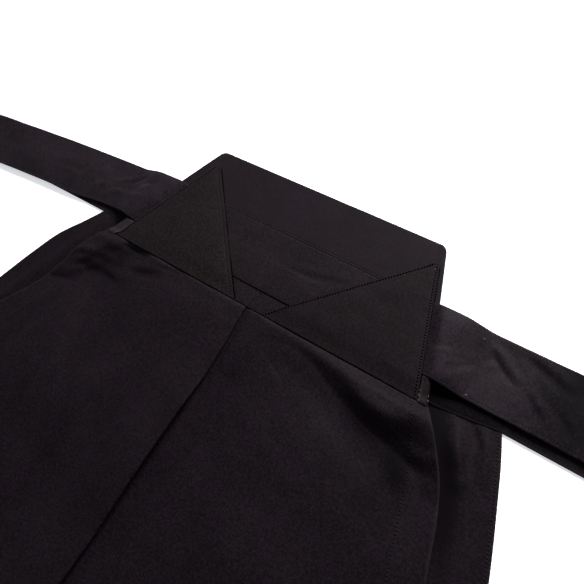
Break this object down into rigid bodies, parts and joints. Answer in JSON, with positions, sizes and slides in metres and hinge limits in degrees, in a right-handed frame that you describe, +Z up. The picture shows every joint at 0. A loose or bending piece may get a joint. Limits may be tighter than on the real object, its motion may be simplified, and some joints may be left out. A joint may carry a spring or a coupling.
{
  "type": "hakama trousers",
  "caption": "Wide pleated divided trousers with a stiff trapezoid back board and long waist straps, laid flat with the back up.",
  "frame": {"origin": "on the floor under the middle of the back board's base line, on the flat underside of the right front panel", "axes": "+X along the board's base towards the wearer's right, +Y from the legs towards the board, +Z up from the floor"},
  "size_m": [0.9715, 1.0748, 0.0103],
  "materials": {
    "twill": "soft black twill with a faint purple-brown cast, dull sheen",
    "board_twill": "the same twill pressed flat over the card board, a little browner",
    "strap_twill": "folded and topstitched black twill straps"
  },
  "bodies": {
    "root": {"front_waistband": "twill", "front_panel_left": "twill", "front_panel_right": "twill", "crotch_gusset": "twill", "back_panel_left": "twill", "back_panel_right": "twill", "back_board": "board_twill", "board_centre_panel": "board_twill", "board_top_cover": "board_twill", "board_flap_left": "board_twill", "board_flap_right": "board_twill", "back_strap_left": "strap_twill", "back_strap_right": "strap_twill", "front_strap_left": "strap_twill", "front_strap_right": "strap_twill"}
  },
  "joints": []
}
